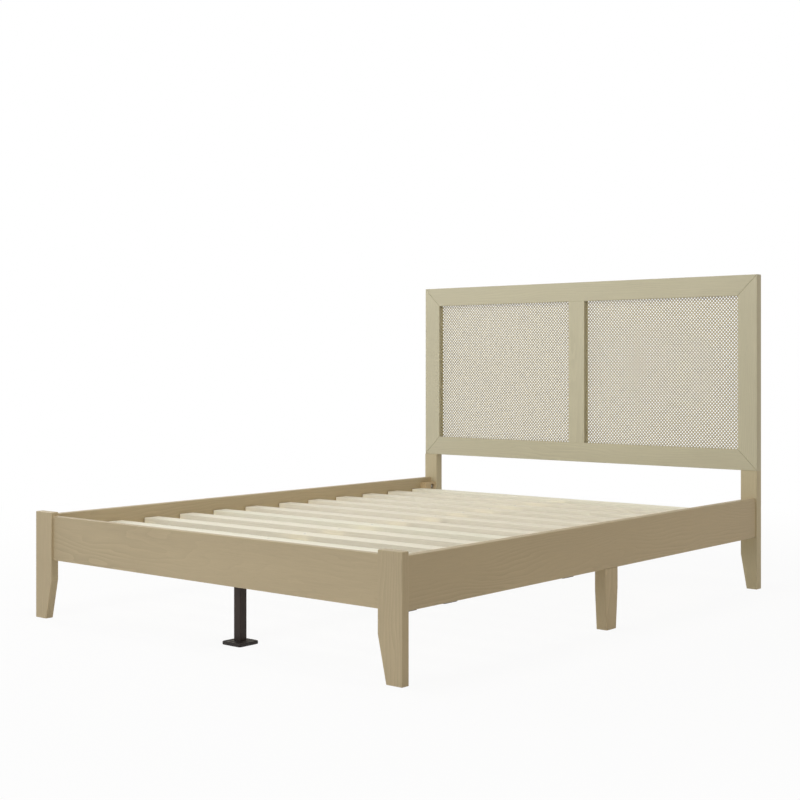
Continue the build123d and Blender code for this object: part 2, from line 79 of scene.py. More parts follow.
MM = 0.001
BODY = "bed"
HEADBOARD = ("headboard_stile_left", "headboard_stile_right", "headboard_top_rail",
             "headboard_bottom_rail", "headboard_mullion", "panel_beads")
FOOT_BODIES = {f"levelling_foot_{number}": f"foot_{number}" for number in range(1, 5)}


def srgb(red, green, blue):
    """A colour as a screen shows it, 0 to 255, as the linear values that shaders take."""
    share = np.array([red, green, blue]) / 255.0
    low = share / 12.92
    high = ((share + 0.055) / 1.055) ** 2.4
    return tuple(float(value) for value in np.where(share <= 0.04045, low, high))


def colour_property(name, description, default):
    """A colour that a user may change."""
    return FloatVectorProperty(name=name, description=description, default=default, size=3,
                               subtype="COLOR", min=0.0, max=1.0)


def length_property(name, description, default):
    """A length that a user may change, in metres."""
    return FloatProperty(name=name, description=description, default=default, min=0.0, unit="LENGTH")


class TimberSettings(bpy.types.PropertyGroup):
    """Colours and grain of the boards."""

    stained: colour_property("Stained rails", "Colour of the stained rails, posts and legs",
                             srgb(189, 173, 141))
    # The headboard's colour is painted light: the rails' stain made paler and greyer, as it looks where
    # more light falls on the headboard. The legs' colour, between the two, is painted light as well: a
    # blend of legs lit like the headboard at the top and shaded lower down.
    headboard: colour_property("Stained headboard", "Colour of the stained headboard frame",
                               srgb(194, 188, 162))
    headboard_leg: colour_property("Headboard legs", "Colour of the legs that carry the headboard",
                                   srgb(192, 180, 148))
    raw: colour_property("Bare wood", "Colour of the unstained slats and beams", srgb(248, 241, 222))
    blocks: colour_property("Corner blocks", "Colour of the hardwood corner blocks", srgb(198, 176, 138))
    ring_spacing: length_property("Ring spacing", "Distance between growth rings", 5.0 * MM)
    fibre_width: length_property("Fibre width", "Width of the fine streaks along the grain", 0.9 * MM)


class CaneSettings(bpy.types.PropertyGroup):
    """Size and colour of the woven strands."""

    step_across: length_property("Step across", "Distance between columns of openings", 6.7 * MM)
    step_up: length_property("Step up", "Distance between rows of openings", 7.05 * MM)
    strand_width: length_property("Strand width", "Width of a strand", 3.9 * MM)
    strand_thickness: length_property("Strand thickness", "Thickness of a strand", 0.9 * MM)
    wave_depth: length_property("Wave depth", "How far a strand swings to each side", 0.62 * MM)
    end_gap: length_property("End gap", "Distance of the strands' ends from the sheet's edge", 3.0 * MM)
    colour: colour_property("Cane", "Colour of the split cane", srgb(190, 177, 133))


class MetalSettings(bpy.types.PropertyGroup):
    """Colours of the steel and plastic parts and the size of their details."""

    tube: colour_property("Steel tube", "Colour of the coated steel tubes", srgb(47, 37, 31))
    plastic: colour_property("Plastic", "Colour of the moulded feet and plugs", srgb(42, 36, 33))
    zinc: colour_property("Zinc", "Colour of the plated fasteners", srgb(206, 205, 200))
    thread_pitch: length_property("Thread pitch", "Rise of a thread in one turn", 1.25 * MM)
    thread_depth: length_property("Thread depth", "Depth of a thread", 0.55 * MM)


class StudioSettings(bpy.types.PropertyGroup):
    """Camera, lamps and floor."""

    camera_x: length_property("Camera X", "Camera's distance to the right of the bed's middle", 3.1253)
    camera_y: FloatProperty(name="Camera Y", description="Camera's place along the bed",
                            default=-3.8346, unit="LENGTH")
    camera_z: length_property("Camera height", "Height of the camera over the floor", 0.8417)
    camera_turn: FloatProperty(name="Camera turn", description="Turn of the camera about the vertical",
                               default=radians(40.009), unit="ROTATION")
    lens_mm: FloatProperty(name="Lens", description="Focal length in millimetres", default=62.483)
    shift: FloatProperty(name="Shift", description="Upward shift of the lens", default=-0.04334)
    sky: FloatProperty(name="Sky", description="Strength of the even light from all round", default=0.15)
    front: FloatProperty(name="Front lamp", description="Power of the lamp past the foot end, in watts",
                         default=104.0)
    left: FloatProperty(name="Left lamp", description="Power of the lamp on the left, in watts",
                        default=112.0)
    right: FloatProperty(name="Right lamp", description="Power of the lamp on the right, in watts",
                         default=47.0)
    right_colour: colour_property("Right lamp colour", "Warm tint of the lamp on the right",
                                  (1.0, 0.88, 0.70))
    back: FloatProperty(name="Back lamp", description="Power of the lamp behind the headboard, in watts",
                        default=45.0)
    top: FloatProperty(name="Top lamp", description="Power of the lamp over the deck, in watts",
                       default=26.0)


# Node helpers

def new_material(name):
    """An empty node material with a Principled shader joined to its output."""
    material = bpy.data.materials.new(name)
    material.use_nodes = True
    tree = material.node_tree
    tree.nodes.clear()
    output = tree.nodes.new("ShaderNodeOutputMaterial")
    shader = tree.nodes.new("ShaderNodeBsdfPrincipled")
    tree.links.new(shader.outputs["BSDF"], output.inputs["Surface"])
    return material, tree, shader


def add_node(tree, kind, inputs=(), **settings):
    """A node with its settings, and its inputs given as values or as sockets to join."""
    node = tree.nodes.new(kind)
    for name, value in settings.items():
        setattr(node, name, value)
    for name, value in dict(inputs).items():
        if isinstance(value, bpy.types.NodeSocket):
            tree.links.new(value, node.inputs[name])
        else:
            node.inputs[name].default_value = value
    return node


def math_node(tree, operation, first, second=0.0):
    """The result of a sum on one or two values."""
    return add_node(tree, "ShaderNodeMath", {0: first, 1: second}, operation=operation).outputs[0]


def scaled_place(tree, scale, offset=(0.0, 0.0, 0.0)):
    """Object coordinates moved by an offset and then scaled along each axis."""
    place = add_node(tree, "ShaderNodeTexCoord").outputs["Object"]
    moved = add_node(tree, "ShaderNodeVectorMath", {0: place, 1: offset}, operation="ADD").outputs[0]
    return add_node(tree, "ShaderNodeVectorMath", {0: moved, 1: scale}, operation="MULTIPLY").outputs[0]


def noise(tree, vector, scale, detail=2.0, roughness=0.5, distortion=0.0):
    """A cloudy pattern between 0 and 1."""
    return add_node(tree, "ShaderNodeTexNoise",
                    {"Vector": vector, "Scale": scale, "Detail": detail, "Roughness": roughness,
                     "Distortion": distortion}).outputs["Fac"]


def spread(tree, value, low, high, to_low=0.0, to_high=1.0):
    """A value carried from one range to another, held at its ends."""
    return add_node(tree, "ShaderNodeMapRange",
                    {"Value": value, "From Min": low, "From Max": high, "To Min": to_low,
                     "To Max": to_high}).outputs["Result"]


def mixed(tree, share, first, second):
    """Two colours mixed by a share."""
    node = add_node(tree, "ShaderNodeMix", data_type="RGBA")
    sockets = {"Factor": node.inputs[0], "A": node.inputs[6], "B": node.inputs[7]}
    for name, value in (("Factor", share), ("A", first), ("B", second)):
        if isinstance(value, bpy.types.NodeSocket):
            tree.links.new(value, sockets[name])
        else:
            sockets[name].default_value = value
    return node.outputs[2]


def with_patterns(tree, tone, patterns):
    """A tone with patterns added, each centred on zero and multiplied by its amount."""
    for pattern, amount in patterns:
        centred = math_node(tree, "SUBTRACT", pattern, 0.5)
        tone = math_node(tree, "ADD", tone, math_node(tree, "MULTIPLY", centred, amount))
    return tone


def toned(colour, factor):
    """A colour made lighter or darker, with full alpha."""
    return tuple(min(1.0, value * factor) for value in colour) + (1.0,)


def shade_by(tree, shader, colour, value):
    """Join a colour and a value that drives roughness to the shader."""
    tree.links.new(colour, shader.inputs["Base Color"])
    tree.links.new(value, shader.inputs["Roughness"])


def bump(tree, shader, height, strength, distance):
    """Raise the surface by a pattern."""
    node = add_node(tree, "ShaderNodeBump",
                    {"Height": height, "Strength": strength, "Distance": distance})
    tree.links.new(node.outputs["Normal"], shader.inputs["Normal"])


# Timber

# How much of the along-grain coordinate is left, for fibres and for slower changes.
ALONG_SHARE = 0.035
DRIFT_SHARE = 0.2
# Where the pith lies: its distance from the middle across the grain and its shift along it.
PITH_DISTANCE = (0.05, 0.12)
PITH_SHIFT = 3.0
# How far the rings wander, and the scales of the noises that bend, fade and cloud them.
RING_WANDER = 0.06
WANDER_SCALE = 7.0
FADE_SCALE = 11.0
CLOUD_SCALE = 9.0
STREAK_SHARE = 0.35
# The distance between two rings of a wave texture at a scale of one.
WAVE_PITCH = 2 * pi / 20
# The part of the pore noise that turns from no pore to a full one.
PORE_BAND = (0.60, 0.74)
# The least and the most by which a board's tone differs from its colour.
BOARD_TONE = (0.975, 1.02)
# Dark grain is warmer than pale grain.
DARK_HUE = (1.0, 0.97, 0.92, 1.0)
GRAIN = {"stained": {"ring": 0.07, "streak": 0.10, "pore": 0.15, "cloud": 0.07, "rough": 0.52,
                     "dark": 0.55, "light": 1.35},
         "raw": {"ring": 0.06, "streak": 0.07, "pore": 0.05, "cloud": 0.05, "rough": 0.60,
                 "dark": 0.74, "light": 1.08}}


def timber(name, kind, colour, axis, seed, timber_settings):
    """Solid wood. Rings lie round a pith line beside the board, so faces show long grain
    and ends show arcs, and the along-grain coordinate is shrunk so that all else is drawn out.
    The rings drift along the board and fade in and out."""
    look = GRAIN[kind]
    material, tree, shader = new_material(name)
    random = np.random.default_rng(seed)
    pith = random.uniform(*PITH_DISTANCE, 3) * random.choice([-1.0, 1.0], 3)
    pith[axis] = random.uniform(-PITH_SHIFT, PITH_SHIFT)
    places = []
    for along in (ALONG_SHARE, DRIFT_SHARE):
        stretch = [1.0, 1.0, 1.0]
        stretch[axis] = along
        places.append(scaled_place(tree, stretch, tuple(pith)))
    place, slow = places
    wander = add_node(tree, "ShaderNodeTexNoise",
                      {"Vector": slow, "Scale": WANDER_SCALE, "Detail": 3.0})
    centred = add_node(tree, "ShaderNodeVectorMath", {0: wander.outputs["Color"], 1: (0.5, 0.5, 0.5)},
                       operation="SUBTRACT").outputs[0]
    shifted = add_node(tree, "ShaderNodeVectorMath", {0: centred, 1: (RING_WANDER,) * 3},
                       operation="MULTIPLY").outputs[0]
    bent = add_node(tree, "ShaderNodeVectorMath", {0: place, 1: shifted}, operation="ADD").outputs[0]
    ring_scale = WAVE_PITCH / timber_settings.ring_spacing
    rings = add_node(tree, "ShaderNodeTexWave",
                     {"Vector": bent, "Scale": ring_scale, "Distortion": 1.2, "Detail": 2.0},
                     wave_type="RINGS", rings_direction="XYZ"[axis], wave_profile="SAW").outputs["Fac"]
    fade = spread(tree, noise(tree, slow, FADE_SCALE), 0.38, 0.66, 0.1, 1.0)
    streaks = noise(tree, place, STREAK_SHARE / timber_settings.fibre_width, detail=4.0,
                    roughness=0.65)
    pores = noise(tree, place, 1.0 / timber_settings.fibre_width, roughness=0.8)
    clouds = noise(tree, slow, CLOUD_SCALE)
    pore_mask = spread(tree, pores, *PORE_BAND)
    ring_tone = math_node(tree, "MULTIPLY", math_node(tree, "SUBTRACT", rings, 0.5), 2 * look["ring"])
    tone = with_patterns(tree, math_node(tree, "MULTIPLY", ring_tone, fade),
                         ((streaks, 2 * look["streak"]), (clouds, 2 * look["cloud"])))
    tone = math_node(tree, "SUBTRACT", tone, math_node(tree, "MULTIPLY", pore_mask, look["pore"]))
    board = float(random.uniform(*BOARD_TONE))
    share = spread(tree, tone, look["dark"] - 1.0, look["light"] - 1.0)
    dark = tuple(value * hue for value, hue in zip(toned(colour, look["dark"] * board), DARK_HUE))
    paint = mixed(tree, share, dark, toned(colour, look["light"] * board))
    rough = spread(tree, streaks, 0.3, 0.7, look["rough"] - 0.06, look["rough"] + 0.08)
    shade_by(tree, shader, paint, rough)
    height = math_node(tree, "SUBTRACT", streaks, math_node(tree, "MULTIPLY", pore_mask, 0.7))
    bump(tree, shader, height, 0.35, 0.25 * MM)
    shader.inputs["Specular IOR Level"].default_value = 0.35
    return material


def longest_axis(node):
    """The axis along which a node is longest, which is how its grain runs."""
    low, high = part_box(node)
    return int(np.argmax([high[axis] - low[axis] for axis in range(3)]))


def nodes_in_slot(slot):
    """Every CAD node of a material slot of the record, by name."""
    return [part["node"] for part in frame["record"]["subparts"] if part["material_slot"] == slot]


def give(piece, material):
    """Make a material the only one of a piece."""
    piece.data.materials.clear()
    piece.data.materials.append(material)


# Meshes

# Points nearer than this are merged, and a turned piece starts this far from its axis.
WELD_DISTANCE = 0.01 * MM
POLE_RADIUS = 0.001 * MM


def mesh_piece(name, vertices, quads, body, slot, material, smooth=True, weld=False):
    """A new piece from arrays of points and four-cornered faces, riding on a body. Welding
    merges points that coincide, which closes poles and seams."""
    mesh = bpy.data.meshes.new(name)
    mesh.vertices.add(len(vertices))
    mesh.vertices.foreach_set("co", vertices.astype(np.float32).ravel())
    mesh.loops.add(quads.size)
    mesh.loops.foreach_set("vertex_index", quads.astype(np.int32).ravel())
    mesh.polygons.add(len(quads))
    mesh.polygons.foreach_set("loop_start", np.arange(0, quads.size, 4, dtype=np.int32))
    mesh.polygons.foreach_set("use_smooth", np.full(len(quads), smooth))
    mesh.update(calc_edges=True)
    if weld:
        copy = bmesh.new()
        copy.from_mesh(mesh)
        bmesh.ops.remove_doubles(copy, verts=copy.verts, dist=WELD_DISTANCE)
        copy.to_mesh(mesh)
        copy.free()
    mesh.validate()
    piece = bpy.data.objects.new(name, mesh)
    bpy.context.scene.collection.objects.link(piece)
    give(piece, material)
    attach(piece, body)
    return piece


def grid_quads(rows, columns, first=0):
    """Faces of a grid of points that closes on itself across its columns."""
    row = np.arange(rows - 1)[:, None]
    column = np.arange(columns)[None, :]
    following = (column + 1) % columns
    corners = (row * columns + column, row * columns + following,
               (row + 1) * columns + following, (row + 1) * columns + column)
    return first + np.stack(np.broadcast_arrays(*corners), -1).reshape(-1, 4)


def gather(shells):
    """One array of points and one of faces from several shells."""
    points, faces, start = [], [], 0
    for vertices, quads in shells:
        points.append(vertices)
        faces.append(quads + start)
        start += len(vertices)
    return np.concatenate(points), np.concatenate(faces)


def turned(profile, sides, shape=None):
    """A shell round the Z axis. Row by row, radius and height follow the profile, and shape,
    a function of the angle and that radius, gives the radius used. A profile that starts and
    ends at the axis is closed there by welding, and one whose ends meet is welded to a ring."""
    profile = np.asarray(profile, float)
    angle = np.arange(sides) * 2 * pi / sides
    radius = np.broadcast_to(profile[:, :1], (len(profile), sides)).copy()
    if shape is not None:
        radius = shape(angle[None, :], radius)
    height = np.broadcast_to(profile[:, 1:], radius.shape)
    points = np.stack([radius * np.cos(angle), radius * np.sin(angle), height], -1)
    return points.reshape(-1, 3), grid_quads(len(profile), sides)


def threaded(radius, start, end, pitch, depth, sides=20, steps=4):
    """A threaded rod: radius less depth times the distance, in turns, from the nearest crest,
    where the crest rises by one pitch each turn."""
    rows = int((end - start) / pitch * steps) + 1
    height = np.linspace(start, end, rows)[:, None]
    angle = (np.arange(sides) * 2 * pi / sides)[None, :]
    turn = (height / pitch - angle / (2 * pi)) % 1.0
    body = radius - depth * 2 * np.minimum(turn, 1 - turn)
    points = np.stack([body * np.cos(angle), body * np.sin(angle), height + 0 * angle], -1)
    ends = [np.stack([POLE_RADIUS * np.cos(angle[0]), POLE_RADIUS * np.sin(angle[0]),
                      0 * angle[0] + z], -1)
            for z in (start, end)]
    points = np.concatenate([ends[0][None], points, ends[1][None]])
    return points.reshape(-1, 3), grid_quads(rows + 2, sides)


def stood(shell, point, direction):
    """A shell made along +Z, moved so that its origin is at a point and +Z along a direction."""
    vertices, quads = shell
    turn = Vector((0, 0, 1)).rotation_difference(Vector(direction)).to_matrix()
    return vertices @ np.array(turn).T + np.asarray(point), quads


def islands(node):
    """The separate solids of a CAD node, each as an array of its points."""
    copy = bmesh.new()
    copy.from_mesh(frame["nodes"][node].data)
    bmesh.ops.remove_doubles(copy, verts=copy.verts, dist=1e-6)
    left = set(copy.verts)
    found = []
    while left:
        first = min(left, key=lambda vertex: vertex.index)
        group = {first}
        edge = [first]
        while edge:
            near = {other for vertex in edge for link in vertex.link_edges for other in link.verts}
            edge = [vertex for vertex in near if vertex not in group]
            group.update(edge)
        left -= group
        found.append(np.array([vertex.co[:] for vertex in group]))
    copy.free()
    return sorted(found, key=lambda points: tuple(points.min(0).round(4)))


def stem_of(points):
    """The head point, direction and length of a turned solid. Its head is its wider end."""
    size = np.ptp(points, axis=0)
    axis = int(np.argmax(size))
    middle = (points.min(0) + points.max(0)) / 2
    away = np.delete(points - middle, axis, axis=1)
    radius = np.hypot(away[:, 0], away[:, 1])
    ends = [points[:, axis].min(), points[:, axis].max()]
    reach = [radius[np.abs(points[:, axis] - end) < 0.2 * MM].max() for end in ends]
    head = int(np.argmax(reach))
    start = middle.copy()
    start[axis] = ends[head]
    direction = np.zeros(3)
    direction[axis] = ends[1 - head] - ends[head]
    length = float(np.abs(direction[axis]))
    return start, direction / length, length


# Cane

# The least length of a strand, and its points, in steps of the weave.
SHORTEST_STRAND = 1.2
POINTS_PER_STEP = 2.5
# The part of a strip of the UV map that stays free at either side.
STRIP_MARGIN = 0.04
FIBRES_PER_STRAND = 24.0
PATCH_SCALE = 38.0


def woven(middle, half_size, lean, cane_settings):
    """Strands that rise to the right (lean 1) or to the left (lean -1). In steps of the weave,
    strand c has its points at across c/2 + lean * s and up s - lean * c/2, with c odd, and s
    runs between the edges of the sheet. Its middle line lies lean times minus the wave depth
    times cos(pi * across) from the sheet's middle, so at each crossing one strand is in front
    and the next one behind. The section is a flat lozenge."""
    step = np.array([cane_settings.step_across, cane_settings.step_up])
    reach = (np.asarray(half_size) - cane_settings.end_gap) / step
    count = int(reach.sum())
    number = np.arange(-count, count + 1)
    number = number[number % 2 == 1]
    offset = lean * number / 2
    low = np.maximum(-reach[0] - offset, -reach[1] + offset)
    high = np.minimum(reach[0] - offset, reach[1] + offset)
    kept = high - low > SHORTEST_STRAND
    number, low, high = number[kept], low[kept], high[kept]
    steps = int(POINTS_PER_STEP * (high - low).max())
    run = low[:, None] + (high - low)[:, None] * np.linspace(0.0, 1.0, steps)[None, :]
    across = number[:, None] / 2 + lean * run
    up = run - lean * number[:, None] / 2
    swing = -lean * cane_settings.wave_depth * np.cos(pi * across)
    heading = np.array([lean * step[0], step[1]]) / np.hypot(*step)
    half = cane_settings.strand_width / 2
    rise = cane_settings.strand_thickness / 2
    section = np.array([[-half, 0.0], [0.0, -rise], [half, 0.0], [0.0, rise]])
    sides = len(section)
    shape = (len(number), steps, sides)
    points = np.stack([middle[0] + step[0] * across[:, :, None] + heading[1] * section[:, 0],
                       middle[1] + swing[:, :, None] + section[:, 1],
                       middle[2] + step[1] * up[:, :, None] - heading[0] * section[:, 0]], -1)
    starts = np.arange(len(number))[:, None, None] * steps * sides
    walls = (grid_quads(steps, sides)[None] + starts).reshape(-1, 4)
    first = starts[:, :, 0] + np.arange(sides)[None, :]
    last = first + (steps - 1) * sides
    return points.reshape(-1, 3), np.concatenate([walls, first[:, ::-1], last]), shape


def strip_map(piece, shape, walls):
    """A UV map in which each strand is a strip: u runs along it, and v is its number plus the
    share of the way round it."""
    count, steps, sides = shape
    strand, step, side = np.meshgrid(np.arange(count), np.arange(steps - 1), np.arange(sides),
                                     indexing="ij")
    corner_steps = np.array([0, 0, 1, 1])
    corner_sides = np.array([0, 1, 1, 0])
    u = (step[..., None] + corner_steps) / (steps - 1)
    share = STRIP_MARGIN + (1 - 2 * STRIP_MARGIN) * (side[..., None] + corner_sides) / sides
    v = (strand[..., None] + share) / count
    layer = piece.data.uv_layers.new(name="OFBake", do_init=False)
    values = np.zeros((len(piece.data.loops), 2), np.float32)
    values[:walls * 4] = np.stack([u, v], -1).reshape(-1, 2)
    caps = values[walls * 4:].reshape(2, count, 4, 2)
    caps[..., 0] = np.array([0.0, 1.0])[:, None, None]
    caps[..., 1] = ((np.arange(count) + 0.5) / count)[None, :, None]
    values[walls * 4:] = caps.reshape(-1, 2)
    layer.uv.foreach_set("vector", values.ravel())


def cane_material(name, middle, lean, seed, cane_settings):
    """Split cane with a glossy skin. Each strand has its own tone, from noise on its number,
    and fine fibres run along it."""
    material, tree, shader = new_material(name)
    place = scaled_place(tree, (1.0, 1.0, 1.0), tuple(-value for value in middle))
    step = (cane_settings.step_across, cane_settings.step_up)
    along, across = [add_node(tree, "ShaderNodeVectorMath", {0: place, 1: way},
                              operation="DOT_PRODUCT").outputs["Value"]
                     for way in ((lean / step[0] / 2, 0.0, 1 / step[1] / 2),
                                 (1 / step[0] / 2, 0.0, -lean / step[1] / 2))]
    number = math_node(tree, "FLOOR", across)
    strand_tone = add_node(tree, "ShaderNodeTexWhiteNoise",
                           {"W": math_node(tree, "ADD", number, float(seed))},
                           noise_dimensions="1D").outputs["Value"]
    drawn_out = add_node(tree, "ShaderNodeCombineXYZ",
                         {"X": math_node(tree, "MULTIPLY", across, FIBRES_PER_STRAND),
                          "Y": along}).outputs[0]
    fibres = noise(tree, drawn_out, 1.0, detail=3.0, roughness=0.6)
    patches = noise(tree, place, PATCH_SCALE, detail=1.0)
    tone = with_patterns(tree, 0.5, ((strand_tone, 0.45), (fibres, 0.8), (patches, 0.5)))
    share = spread(tree, tone, 0.0, 1.0)
    paint = mixed(tree, share, toned(cane_settings.colour, 0.84), toned(cane_settings.colour, 1.16))
    rough = spread(tree, fibres, 0.3, 0.7, 0.36, 0.5)
    shade_by(tree, shader, paint, rough)
    bump(tree, shader, fibres, 0.4, 0.15 * MM)
    return material


# Metal and plastic

# Scale, detail and swirl of the clouds, scale and detail of the grain, the darkest and lightest
# tone, the least and most roughness, and the strength and height of the bumps.
SKINS = {
    "coated steel": {"clouds": (24.0, 2.0, 0.0), "grain": (900.0, 2.0), "tones": (0.85, 1.2),
                     "rough": (0.36, 0.5), "bump": (0.3, 0.1 * MM), "specular": 0.25, "metallic": 0.0},
    "moulded plastic": {"clouds": (40.0, 2.0, 1.0), "grain": (1500.0, 1.0), "tones": (0.88, 1.15),
                        "rough": (0.42, 0.58), "bump": (0.25, 0.08 * MM), "specular": 0.25,
                        "metallic": 0.0},
    "zinc plate": {"clouds": (260.0, 3.0, 0.0), "grain": (2400.0, 1.0), "tones": (0.78, 1.05),
                   "rough": (0.24, 0.42), "bump": (0.15, 0.05 * MM), "specular": 0.5, "metallic": 1.0},
}


def skin(name, colour):
    """A fine skin: clouds change its tone, and a grain of tiny bumps, such as orange peel, the
    sparkle of an etched mould or tool marks, changes its gloss. On bare metal the clouds do both."""
    look = SKINS[name]
    material, tree, shader = new_material(name)
    place = scaled_place(tree, (1.0, 1.0, 1.0))
    cloud_scale, cloud_detail, swirl = look["clouds"]
    grain_scale, grain_detail = look["grain"]
    clouds = noise(tree, place, cloud_scale, detail=cloud_detail, distortion=swirl)
    grain = noise(tree, place, grain_scale, detail=grain_detail)
    dark, light = look["tones"]
    paint = mixed(tree, clouds, toned(colour, dark), toned(colour, light))
    gloss = clouds if look["metallic"] else grain
    shade_by(tree, shader, paint, spread(tree, gloss, 0.3, 0.7, *look["rough"]))
    bump(tree, shader, grain, *look["bump"])
    shader.inputs["Specular IOR Level"].default_value = look["specular"]
    shader.inputs["Metallic"].default_value = look["metallic"]
    return material


def rounded_square(angle, radius):
    """Turns a circle of a given radius into a square of that half width with round corners:
    radius over the sixth power mean of the sine and cosine."""
    power = 12.0
    return radius / (np.abs(np.cos(angle)) ** power + np.abs(np.sin(angle)) ** power) ** (1 / power)


def foot_shell(half, thickness):
    """A square foot. The profile runs from the middle of its underside, out over a small
    bevel, up the side, round the top edge, down into a shallow dish and up a centre pad."""
    arc = np.linspace(0.0, pi / 2, 6)
    bevel = 0.8 * MM
    edge = 2.4 * MM
    rim = 5.0 * MM
    dish_start = 6.5 * MM
    dish = 0.9 * MM
    top = thickness - 0.5 * MM
    rows = [(POLE_RADIUS, 0.0), (half * 0.6, 0.0), (half - bevel, 0.0), (half, bevel)]
    rows += [(half - edge + edge * np.cos(turn), top - edge + edge * np.sin(turn)) for turn in arc]
    rows += [(half - rim, top), (half - dish_start, top - dish), (half * 0.55, top - dish),
             (half * 0.50, top - 0.6 * MM), (half * 0.42, thickness - 0.1 * MM),
             (half * 0.36, thickness), (POLE_RADIUS, thickness)]
    return turned(rows, 96, rounded_square)


def hexagon(apothem):
    """A function that limits a radius to a hexagon's sides."""
    def limit(angle, radius):
        side = apothem / np.cos((angle + pi / 6) % (pi / 3) - pi / 6)
        return np.minimum(radius, side)
    return limit


def nut_shell(apothem, bore, thickness):
    """A hexagon nut: a ring whose outer radius is the least of a hexagon and two 30 degree
    cones, and whose bore has a small lead at each end."""
    corner = apothem / np.cos(pi / 6)
    lead = 0.4 * MM
    slope = (corner - apothem) * 0.6
    rows = [(bore, lead), (bore + lead, 0.0), (apothem * 0.97, 0.0), (corner, slope),
            (corner, thickness - slope), (apothem * 0.97, thickness), (bore + lead, thickness),
            (bore, thickness - lead), (bore, lead)]
    return turned(rows, 48, hexagon(apothem))


ROD_RADIUS = 3.95 * MM
NUT_BORE = 4.1 * MM
PLATE_TOP = 11.0 * MM
# Pitch and depth of a wood screw's thread, and depth of a bolt's.
WOOD_THREAD = (2.2 * MM, 0.35 * MM)
BOLT_THREAD_DEPTH = 0.3 * MM
# Half width and length of a cross recess's arms and half width of a socket, as shares of the
# head's radius.
BLADE_SHARE = 0.17
ARM_SHARE = 0.62
SOCKET_SHARE = 0.5


def cross_recess(angle, radius, head_radius, depth):
    """Depth of a cross-shaped recess: full within a blade's width of either arm and within
    the arm's length, and none elsewhere."""
    blade = BLADE_SHARE * head_radius
    x = radius * np.cos(angle)
    y = radius * np.sin(angle)
    near_arm = np.minimum(np.abs(x), np.abs(y)) < blade
    in_arm = near_arm & (radius < ARM_SHARE * head_radius)
    return np.where(in_arm, depth * (1.2 - radius / head_radius), 0.0)


def socket_recess(angle, radius, head_radius, depth):
    """Depth of a hexagon socket: full inside the hexagon and none outside it."""
    side = SOCKET_SHARE * head_radius / np.cos((angle + pi / 6) % (pi / 3) - pi / 6)
    return np.where(radius < side, depth, 0.0)


def screw_shell(length, head, recess, pitch, depth):
    """A screw that points along +Z with its head's face at or behind zero. Its head's face is
    a polar grid sunk by the recess, then come the head's side, the shank and a tapered tip."""
    sides = 32
    angle = (np.arange(sides) * 2 * pi / sides)[None, :]
    face_radius = np.array([0.0, 0.15, 0.26, 0.37, 0.48, 0.58, 0.64, 0.80, 0.94, 1.0])[:, None]
    face_radius = np.maximum(face_radius * head["radius"], POLE_RADIUS)
    dome = head["face"] + head["dome"] * (face_radius / head["radius"]) ** 2
    face_height = dome + recess(angle, face_radius + 0 * angle, head["radius"], head["recess"])
    rows = int((length - head["neck"]) / pitch * 2)
    shank_height = np.linspace(head["neck"], length, rows)[:, None]
    turn = (shank_height / pitch - angle / (2 * pi)) % 1.0
    taper = np.clip((length - shank_height) / (3 * pitch), 0.05, 1.0)
    shank_radius = (head["shank"] - depth * 2 * np.minimum(turn, 1 - turn)) * taper
    radius = np.concatenate([face_radius + 0 * angle, head["side"][:, :1] + 0 * angle, shank_radius,
                             np.full((1, sides), POLE_RADIUS)])
    height = np.concatenate([face_height, head["side"][:, 1:] + 0 * angle, shank_height + 0 * angle,
                             np.full((1, sides), length)])
    points = np.stack([radius * np.cos(angle), radius * np.sin(angle), height], -1)
    quads = grid_quads(len(points), sides)
    return points.reshape(-1, 3), quads


# Each head's side is a list of radii and depths from its face's rim down to its shank, and its
# height is how far it stands over its seat.
COUNTERSUNK = {"radius": 4.1 * MM, "face": 0.05 * MM, "dome": 0.0, "recess": 1.5 * MM,
               "neck": 3.2 * MM, "shank": 1.95 * MM, "height": 0.0,
               "side": np.array([[4.15, 0.25], [3.0, 1.4], [1.95, 2.5]]) * MM}
PAN = {"radius": 3.4 * MM, "face": -2.5 * MM, "dome": 0.35 * MM, "recess": 1.4 * MM,
       "neck": 0.4 * MM, "shank": 1.95 * MM, "height": 2.6 * MM,
       "side": np.array([[3.95, -1.7], [4.15, -0.9], [4.15, -0.05], [1.95, 0.0]]) * MM}
BUTTON = {"radius": 4.2 * MM, "face": -3.9 * MM, "dome": 0.4 * MM, "recess": 2.2 * MM,
          "neck": 0.5 * MM, "shank": 2.95 * MM, "height": 4.0 * MM,
          "side": np.array([[5.0, -2.8], [5.4, -1.6], [5.45, -0.1], [2.95, 0.0]]) * MM}


def screws(node, name, material, pitch, depth, recess=cross_recess):
    """New screws in the places of a CAD node's solids, with the head that each one has."""
    shells = []
    for points in islands(node):
        start, direction, length = stem_of(points)
        head = head_of(points, start, direction)
        shell = screw_shell(length - head["height"], head, recess, pitch, depth)
        shells.append(stood(shell, start + direction * head["height"], direction))
    vertices, quads = gather(shells)
    piece = mesh_piece(name, vertices, quads, BODY, "zinc_steel", material, smooth=False, weld=True)
    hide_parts(node)


def head_of(points, start, direction):
    """Which head a CAD screw has, from the widest radius a little below its face."""
    along = (points - start) @ direction
    away = points - start - along[:, None] * direction
    radius = np.linalg.norm(away, axis=1)
    if radius.max() > 5.0 * MM:
        return BUTTON
    second = radius[(along > 2.0 * MM) & (along < 3.0 * MM)]
    return PAN if second.max() > 4.0 * MM else COUNTERSUNK


# Operators

